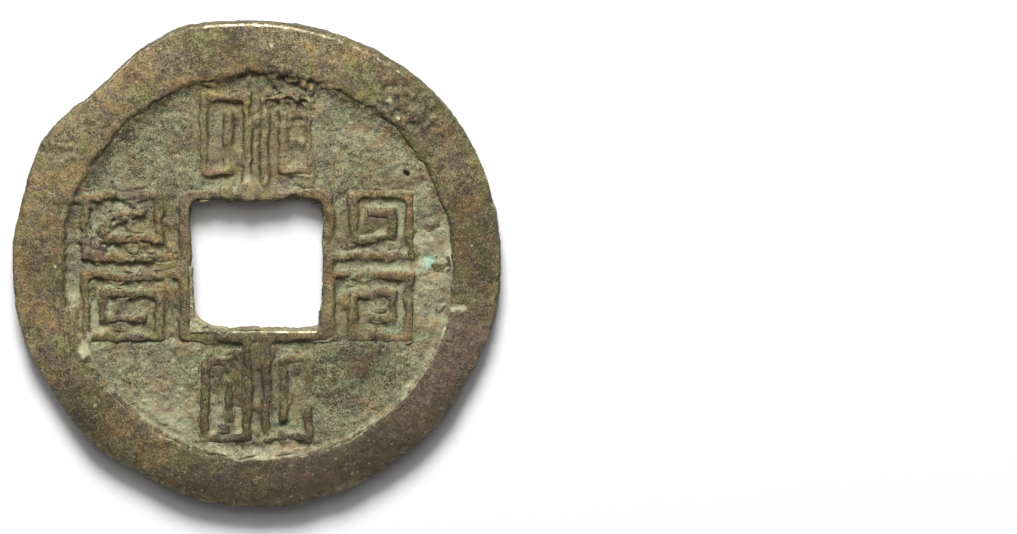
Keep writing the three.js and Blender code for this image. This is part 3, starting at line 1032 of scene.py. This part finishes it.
def place_node(tree, kind, inputs=None, **settings):
    """Adds a node with its settings, and links or sets its inputs by name or number."""
    made = tree.nodes.new(kind)
    for key, value in settings.items():
        setattr(made, key, value)
    for socket, value in (inputs or {}).items():
        if isinstance(value, bpy.types.NodeSocket):
            tree.links.new(value, made.inputs[socket])
        else:
            made.inputs[socket].default_value = value
    return made


def rgba(value):
    return value if isinstance(value, bpy.types.NodeSocket) else (*value, 1)


def blend(tree, factor, first, second, kind="MIX"):
    """The first colour turned into the second by a factor."""
    inputs = {"Factor": factor, 6: rgba(first), 7: rgba(second)}
    return place_node(tree, "ShaderNodeMix", inputs, data_type="RGBA", blend_type=kind).outputs[2]


def maths(tree, operation, *values, clamp=False):
    inputs = dict(enumerate(values))
    return place_node(tree, "ShaderNodeMath", inputs, operation=operation, use_clamp=clamp).outputs[0]


def step(tree, value, low, high):
    """0 below low, 1 above high and smooth between them."""
    inputs = {"Value": value, "From Min": low, "From Max": high}
    return place_node(tree, "ShaderNodeMapRange", inputs, interpolation_type="SMOOTHSTEP").outputs[0]


def space(tree, shift=(0, 0, 0)):
    """Object coordinates in millimetres, moved by a shift so that two patterns aren't alike."""
    place = place_node(tree, "ShaderNodeTexCoord").outputs["Object"]
    inputs = {"Vector": place, "Scale": (1 / MM,) * 3, "Location": shift}
    return place_node(tree, "ShaderNodeMapping", inputs).outputs[0]


def noise(tree, vector, size, detail=2.0, roughness=0.5, distortion=0.0):
    """Noise whose lumps have a size in millimetres."""
    inputs = {"Vector": vector, "Detail": detail, "Roughness": roughness, "Distortion": distortion}
    made = place_node(tree, "ShaderNodeTexNoise", inputs)
    if isinstance(size, bpy.types.NodeSocket):
        tree.links.new(maths(tree, "DIVIDE", 1.0, size), made.inputs["Scale"])
    else:
        made.inputs["Scale"].default_value = 1 / size
    return made.outputs[0]


def patches(tree, shift, size, detail, roughness, low, high):
    """A mask of soft patches, 0 where the noise is under low and 1 where it is over high."""
    return step(tree, noise(tree, space(tree, shift), size, detail, roughness), low, high)


def torn(tree, ragged, amount, value, low, high):
    """A step with a ragged edge. The value is a socket or the name of an attribute."""
    if isinstance(value, str):
        value = attribute(tree, value)
    return step(tree, maths(tree, "MULTIPLY_ADD", ragged, amount, value), low, high)


def attribute(tree, name):
    return place_node(tree, "ShaderNodeAttribute", attribute_name=name).outputs["Fac"]


FLOAT, COLOUR = "NodeSocketFloat", "NodeSocketColor"
GREY = (0.2, 0.2, 0.2, 1)
# What the node groups take: colours by name alone, and values with their defaults.
TONES = ("Dark", "Light", "Stain A", "Stain B", "Stain C")
MOTTLE = {"Patches": 2.6, "Blotches": 0.6, "Grains": 0.1, "Contrast": 1.0, "Shift": 0.0, "Stain Share": 0.5}
SPECKS = {"Size": 0.1, "Share": 0.25}
GRAIN = {"Lumps": 0.3, "Grains": 0.07, "Pits": 0.5}
# Each stain of the mottled tones, where its pattern lies and the size of its patches.
STAINS = (("Stain A", (31, 7, 3), 1.5), ("Stain B", (-17, 23, 9), 1.2), ("Stain C", (8, -29, 2), 0.9))


def group(name, colours, values, outputs):
    """A new node group that takes colours and values and gives outputs, each with a name and a kind."""
    tree = bpy.data.node_groups.new(name, "ShaderNodeTree")
    takes = [(title, COLOUR, GREY) for title in colours]
    takes += [(title, FLOAT, value) for title, value in values.items()]
    for title, kind, default in takes:
        socket = tree.interface.new_socket(title, in_out="INPUT", socket_type=kind)
        socket.default_value = default
    for title, kind in outputs:
        tree.interface.new_socket(title, in_out="OUTPUT", socket_type=kind)
    given = tree.nodes.new("NodeGroupInput").outputs
    wanted = tree.nodes.new("NodeGroupOutput").inputs
    return tree, given, wanted


def use_group(tree, name, titles, values):
    """Places a node group and gives it a value for each title."""
    inputs = dict(zip(titles, values))
    return place_node(tree, "ShaderNodeGroup", inputs, node_tree=bpy.data.node_groups[name]).outputs


def mottle_group(name):
    """Broad patches, small blotches and fine grain between a dark and a light tone, with three stains."""
    tree, given, wanted = group(name, TONES, MOTTLE, [("Color", COLOUR), ("Tone", FLOAT)])
    here = space(tree)
    spread = maths(tree, "SUBTRACT", noise(tree, here, given["Patches"], 3, 0.55, 0.4), 0.5)
    blotches = noise(tree, here, given["Blotches"], 3, 0.6, 0.6)
    grains = noise(tree, here, given["Grains"], 3, 0.75)
    for pattern, strength in ((blotches, 2.0), (grains, 4.8)):
        spread = maths(tree, "MULTIPLY_ADD", maths(tree, "SUBTRACT", pattern, 0.5), strength, spread)
    value = maths(tree, "MULTIPLY_ADD", spread, given["Contrast"], 0.5)
    value = maths(tree, "ADD", value, given["Shift"], clamp=True)
    shown = blend(tree, value, given["Dark"], given["Light"])
    for stain, shift, size in STAINS:
        cover = noise(tree, space(tree, shift), size, 3, 0.45, 0.8)
        cover = maths(tree, "MULTIPLY", step(tree, cover, 0.47, 0.63), given["Stain Share"])
        shade = blend(tree, 1.0, given[stain], blend(tree, value, (0.55,) * 3, (1.35,) * 3), "MULTIPLY")
        shown = blend(tree, cover, shown, shade)
    tree.links.new(shown, wanted["Color"])
    tree.links.new(value, wanted["Tone"])


def speck_group(name):
    """Small scattered specks: a mask of dark ones and a mask of pale ones."""
    tree, given, wanted = group(name, (), SPECKS, [("Dark", FLOAT), ("Pale", FLOAT)])
    for title, shift in (("Dark", (3, 11, 5)), ("Pale", (41, -19, 13))):
        inputs = {"Vector": space(tree, shift), "Scale": maths(tree, "DIVIDE", 0.4, given["Size"])}
        cells = place_node(tree, "ShaderNodeTexVoronoi", inputs)
        dot = maths(tree, "SUBTRACT", 1.0, step(tree, cells.outputs["Distance"], 0.12, 0.26))
        parts = place_node(tree, "ShaderNodeSeparateColor", {0: cells.outputs["Color"]})
        chosen = maths(tree, "LESS_THAN", parts.outputs[0], given["Share"])
        tree.links.new(maths(tree, "MULTIPLY", dot, chosen), wanted[title])


def grain_group(name):
    """The height of a rough surface: small lumps, fine grain and pits."""
    tree, given, wanted = group(name, (), GRAIN, [("Height", FLOAT)])
    here = space(tree, (5, 5, 5))
    lumps = noise(tree, here, given["Lumps"], 3, 0.6)
    grains = noise(tree, here, given["Grains"], 2, 0.7)
    pits = patches(tree, (9, 2, 4), 0.16, 2, 0.6, 0.56, 0.7)
    height = maths(tree, "MULTIPLY_ADD", grains, 0.5, lumps)
    height = maths(tree, "SUBTRACT", height, maths(tree, "MULTIPLY", pits, given["Pits"]))
    tree.links.new(height, wanted["Height"])


GROUPS = {"mottled_tones": mottle_group, "specks": speck_group, "rough_grain": grain_group}


def new_material(name):
    material = bpy.data.materials.new(name)
    material.use_nodes = True
    tree = material.node_tree
    return material, tree, tree.nodes["Principled BSDF"]


def coin_material(name):
    """A new material, and the node groups that the coin's materials share if they aren't there yet."""
    for title, make in GROUPS.items():
        if title not in bpy.data.node_groups:
            make(title)
    return new_material(name)


def mottled(tree, colours, *values):
    """Mottled tones: a dark and a light colour and three stains, and the values of the group."""
    return use_group(tree, "mottled_tones", (*TONES, *MOTTLE), [*map(rgba, colours), *values])


def specked(tree, shown, finish, pale):
    """A colour with dark specks, and with pale ones as strong as pale says."""
    specks = use_group(tree, "specks", SPECKS, (0.11, 0.18))
    shown = blend(tree, maths(tree, "MULTIPLY", specks["Dark"], 0.85), shown, finish.pits)
    return blend(tree, maths(tree, "MULTIPLY", specks["Pale"], pale), shown, finish.earth_pale)


def dress(tree, shader, shown, grain, strength, depth):
    """Gives a shader its colour and the bumps of a rough surface."""
    height = use_group(tree, "rough_grain", GRAIN, grain)["Height"]
    bump = place_node(tree, "ShaderNodeBump", {"Height": height, "Strength": strength, "Distance": depth})
    tree.links.new(shown, shader.inputs["Base Color"])
    tree.links.new(bump.outputs[0], shader.inputs["Normal"])


def earth_tones(tree, finish):
    """The colour of old earth: darker or paler as its paleness says, and stained by copper salts."""
    # The paleness holds the earth's own tone, with painted shade under upper walls and painted light at
    # lower walls.
    shift = maths(tree, "MULTIPLY_ADD", attribute(tree, "pale"), 0.9, -0.36)
    colours = (finish.earth_dark, finish.earth_pale, finish.earth_green, finish.brass_warm, finish.dusk)
    tones = mottled(tree, colours, 1.9, 0.34, 0.075, 0.66, shift, 0.4)["Color"]
    ragged = maths(tree, "SUBTRACT", noise(tree, space(tree, (4, 4, 7)), 0.3, 4, 0.7), 0.5)
    salty = torn(tree, ragged, 1.6, "salty", 0.3, 0.8)
    return blend(tree, maths(tree, "MULTIPLY", salty, 0.7), tones, finish.salts)


def earth_material(finish):
    """Hard old earth: matt, granular, grey green to buff, with dark and pale specks."""
    material, tree, shader = coin_material("old_earth")
    tones = earth_tones(tree, finish)
    # Painted shade: the crust is darker in its creases.
    creased = step(tree, attribute(tree, "crease"), 0.002, 0.02)
    shown = blend(tree, maths(tree, "MULTIPLY", creased, 0.5), tones, finish.earth_dark)
    shown = specked(tree, shown, finish, 0.7)
    shown = blend(tree, step(tree, attribute(tree, "pit"), 0.35, 0.7), shown, finish.pits)
    dress(tree, shader, shown, (0.22, 0.07, 0.6), 0.75, 0.00004)
    shader.inputs["Roughness"].default_value = 0.93
    shader.inputs["Specular IOR Level"].default_value = 0.15
    return material


def brass_material(finish):
    """Worn brass: brown and olive on high places, earth in the hollows, dark creases and walls partly
    painted shade, and bare edges painted as highlights.
    """
    material, tree, shader = coin_material("worn_brass")
    shade, wall = attribute(tree, "shade"), attribute(tree, "wall")
    colours = (finish.brass_dark, finish.brass, finish.brass_warm, finish.brass_olive, finish.dusk)
    # The shade attribute shifts the brass lighter or darker: its own tone, and painted shade on the lower
    # rim and the reverse's ledge.
    brass = mottled(tree, colours, 2.4, 0.38, 0.085, 1.0, shade, 0.48)
    tones = earth_tones(tree, finish)
    here = space(tree)
    level = place_node(tree, "ShaderNodeSeparateXYZ", {0: here}).outputs[2]
    depth = maths(tree, "SUBTRACT", MIDDLE, maths(tree, "ABSOLUTE", maths(tree, "SUBTRACT", level, MIDDLE)))
    ragged = maths(tree, "MULTIPLY", maths(tree, "SUBTRACT", noise(tree, here, 0.35, 4, 0.65), 0.5), 0.32)
    # A film of earth lies on low places and in hollows, but less of it where the metal is brown.
    low = step(tree, maths(tree, "ADD", depth, ragged), 0.18, 0.25)
    film = maths(tree, "MAXIMUM", low, torn(tree, ragged, 0.25, "hollow", 0.01, 0.045))
    brown = torn(tree, ragged, 4.0, "brown", 0.25, 0.6)
    film = maths(tree, "MULTIPLY", film, maths(tree, "MULTIPLY_ADD", brown, -0.8, 1.0))
    # The metal under it, with its stains, and its darkest places, which are painted shade blended towards
    # the patina colour.
    light = blend(tree, brass["Tone"], (0.6,) * 3, (1.4,) * 3)
    dusk = blend(tree, 1.0, finish.dusk, light, "MULTIPLY")
    dusky = torn(tree, ragged, 3.0, "dusky", 0.15, 0.75)
    shown = blend(tree, maths(tree, "MULTIPLY", dusky, 0.6), brass["Color"], dusk)
    shown = blend(tree, maths(tree, "MULTIPLY", shade, -0.8, clamp=True), shown, finish.patina_and_shade)
    shown = blend(tree, film, shown, tones)
    # Pale earth tones on walls that face the lamp and at the foot of the lower wall: partly earth, partly
    # painted light.
    shown = blend(tree, torn(tree, ragged, 2.5, "pale_wall", 0.2, 0.8), shown, tones)
    # Dark skin on steep walls and in creases, thick in some places and thin in others: patina, and painted
    # shade where walls and creases face away from the lamp.
    patchy = patches(tree, (7, 1, 8), 0.7, 4, 0.65, 0.4, 0.6)
    wall_skin_and_shade = maths(tree, "MULTIPLY", wall, maths(tree, "MULTIPLY_ADD", patchy, 0.5, 0.45))
    shown = blend(tree, wall_skin_and_shade, shown, finish.patina_and_shade)
    crease_patchiness = patches(tree, (2, 9, 1), 1.3, 3, 0.6, 0.36, 0.62)
    crease_skin_and_shade = torn(tree, ragged, 0.06, "crease", 0.004, 0.014)
    crease_skin_and_shade = maths(tree, "MULTIPLY", crease_skin_and_shade, maths(tree, "MULTIPLY_ADD", crease_patchiness, 0.45, 0.15))
    shown = blend(tree, crease_skin_and_shade, shown, finish.patina_and_shade)
    shown = specked(tree, shown, finish, 0.35)
    shown = blend(tree, torn(tree, ragged, 3.0, "mark", 0.3, 0.7), shown, finish.earth_pale)
    # Bare edges along the top and under the hole: worn metal, painted as a bright highlight.
    bare = torn(tree, ragged, 3.2, "bare", 0.2, 0.95)
    shown = blend(tree, bare, shown, finish.bare)
    dress(tree, shader, shown, (0.26, 0.08, 0.5), 0.8, 0.00003)
    covered = maths(tree, "SUBTRACT", 1.0, maths(tree, "MAXIMUM", film, wall))
    metal = maths(tree, "MAXIMUM", bare, maths(tree, "MULTIPLY", covered, 0.35))
    tree.links.new(metal, shader.inputs["Metallic"])
    rough = maths(tree, "MULTIPLY_ADD", film, 0.3, 0.6)
    rough = maths(tree, "SUBTRACT", rough, maths(tree, "MULTIPLY", bare, 0.25))
    tree.links.new(rough, shader.inputs["Roughness"])
    shader.inputs["Specular IOR Level"].default_value = 0.25
    return material


def salts_material(finish):
    """Copper salts: pale blue green grains, darker between them as painted shade."""
    material, tree, shader = coin_material("copper_salts")
    colours = (finish.earth_green, finish.salts, finish.salts, finish.earth_green, finish.earth_pale)
    tones = mottled(tree, colours, 0.8, 0.3, 0.07, 1.0, 0.25, 0.3)
    # Painted shade in the creases between the grains.
    creased = step(tree, attribute(tree, "crease"), 0.0, 0.012)
    shown = blend(tree, maths(tree, "MULTIPLY", creased, 0.25), tones["Color"], finish.earth_green)
    dress(tree, shader, shown, (0.1, 0.04, 0.4), 0.5, 0.00002)
    shader.inputs["Roughness"].default_value = 0.85
    return material


# The stage

# The photograph's frame and the middle of the obverse in it, in pixels.
VIEW_WIDTH, VIEW_HEIGHT = 1017, 534
COIN_PIXEL = (257, 264)
SENSOR = 0.036
LAMP_DISTANCE = 0.5
LAMP_TURN = math.radians(-3)
KEY_SIZE = 0.2
FILL_SIZE = 0.42
FLOOR_SIZE = 6.0
FLOOR_NEAR = 0.03
FLOOR_FAR = 0.25


def set_camera(settings):
    """A long lens over the middle of the view, so that the coin lies at its own place in the frame."""
    data = bpy.data.cameras.new("camera")
    data.lens = settings.focal_length
    data.sensor_width = SENSOR / MM
    distance = settings.focal_length * MM * VIEW_WIDTH * settings.pixel / SENSOR
    across = (VIEW_WIDTH / 2 - COIN_PIXEL[0]) * settings.pixel
    along = (COIN_PIXEL[1] - VIEW_HEIGHT / 2) * settings.pixel
    aim = Vector((across, along, MIDDLE * MM))
    back = Vector((0, math.sin(settings.tilt), math.cos(settings.tilt)))
    camera = bpy.data.objects.new("camera", data)
    camera.location = aim + back * distance
    camera.rotation_euler = (-settings.tilt, 0, 0)
    data.clip_start, data.clip_end = distance / 100, distance * 100
    bpy.context.scene.collection.objects.link(camera)
    bpy.context.scene.camera = camera


def set_lamp(name, size, watts, height):
    """A round soft lamp towards the top of the coin."""
    data = bpy.data.lights.new(name, "AREA")
    data.shape = "DISK"
    data.size = size
    data.energy = watts
    lamp = bpy.data.objects.new(name, data)
    along = math.cos(height)
    toward = Vector((along * math.sin(LAMP_TURN), along * math.cos(LAMP_TURN), math.sin(height)))
    lamp.location = toward * LAMP_DISTANCE
    lamp.rotation_euler = toward.to_track_quat("Z", "Y").to_euler()
    bpy.context.scene.collection.objects.link(lamp)


def seen_directly(tree):
    """1 for a ray that shows the background: from the camera, in gloss or through glass."""
    rays = place_node(tree, "ShaderNodeLightPath").outputs
    seen = maths(tree, "MAXIMUM", rays["Is Camera Ray"], rays["Is Glossy Ray"])
    return maths(tree, "MAXIMUM", seen, rays["Is Transmission Ray"])


def set_world(settings):
    """Even light from all round, with a background that shows white."""
    world = bpy.data.worlds.new("studio")
    world.use_nodes = True
    tree = world.node_tree
    back = tree.nodes["Background"]
    back.inputs["Color"].default_value = (1, 0.96, 0.98, 1)
    inputs = {"Value": seen_directly(tree), "To Min": settings.sky, "To Max": 1.0}
    tree.links.new(place_node(tree, "ShaderNodeMapRange", inputs).outputs[0], back.inputs["Strength"])
    bpy.context.scene.world = world


def set_floor():
    """A white table that keeps the coin's shadow."""
    bpy.ops.mesh.primitive_plane_add(size=FLOOR_SIZE)
    floor = bpy.context.object
    floor.name = "table"
    material, tree, shader = new_material("white_table")
    shader.inputs["Roughness"].default_value = 0.9
    shader.inputs["Specular IOR Level"].default_value = 0.1
    shader.inputs["Emission Color"].default_value = (1, 1, 1, 1)
    seen = seen_directly(tree)
    tree.links.new(blend(tree, seen, (0.8, 0.8, 0.8), (1, 1, 1)), shader.inputs["Base Color"])
    here = place_node(tree, "ShaderNodeTexCoord").outputs["Object"]
    away = place_node(tree, "ShaderNodeVectorMath", {0: here}, operation="LENGTH").outputs["Value"]
    far = step(tree, away, FLOOR_NEAR, FLOOR_FAR)
    glow = maths(tree, "MULTIPLY", maths(tree, "MULTIPLY_ADD", far, 0.98, 0.02), seen)
    tree.links.new(glow, shader.inputs["Emission Strength"])
    floor.data.materials.append(material)


class COIN_OT_set_stage(Operator):
    """Sets the view, the lamps, the even light and the white table"""

    bl_idname = "coin.set_stage"
    bl_label = "Set Stage"

    def execute(self, context):
        settings = context.scene.cash_coin.stage
        bpy.ops.object.select_all(action="DESELECT")
        set_camera(settings)
        set_lamp("key_lamp", KEY_SIZE, settings.key_power, settings.key_height)
        set_lamp("fill_lamp", FILL_SIZE, settings.fill_power, settings.fill_height)
        set_world(settings)
        set_floor()
        context.scene.view_settings.view_transform = "Standard"
        return {"FINISHED"}


class COIN_PT_panel(Panel):
    """Lists the steps that make the coin"""

    bl_idname = "COIN_PT_panel"
    bl_label = "Cash Coin"
    bl_space_type = "VIEW_3D"
    bl_region_type = "UI"
    bl_category = "Cash Coin"

    def draw(self, context):
        for operator in OPERATORS:
            self.layout.operator(operator.bl_idname)


OPERATORS = (
    COIN_OT_set_stage,
    COIN_OT_shape_casting,
    COIN_OT_lay_crusts,
    COIN_OT_pack_hole_corner,
    COIN_OT_grow_salts,
)
SETTINGS = (CastingSettings, CrustSettings, FinishSettings, StageSettings, Settings)
CLASSES = (*SETTINGS, *OPERATORS, COIN_PT_panel)


def register():
    for each in CLASSES:
        bpy.utils.register_class(each)
    bpy.types.Scene.cash_coin = PointerProperty(type=Settings)


def unregister():
    del bpy.types.Scene.cash_coin
    for each in reversed(CLASSES):
        bpy.utils.unregister_class(each)


def main():
    register()
    bpy.ops.coin.set_stage()
    bpy.ops.coin.shape_casting()
    bpy.ops.coin.lay_crusts()
    bpy.ops.coin.pack_hole_corner()
    bpy.ops.coin.grow_salts()


if __name__ == "__main__":
    main()
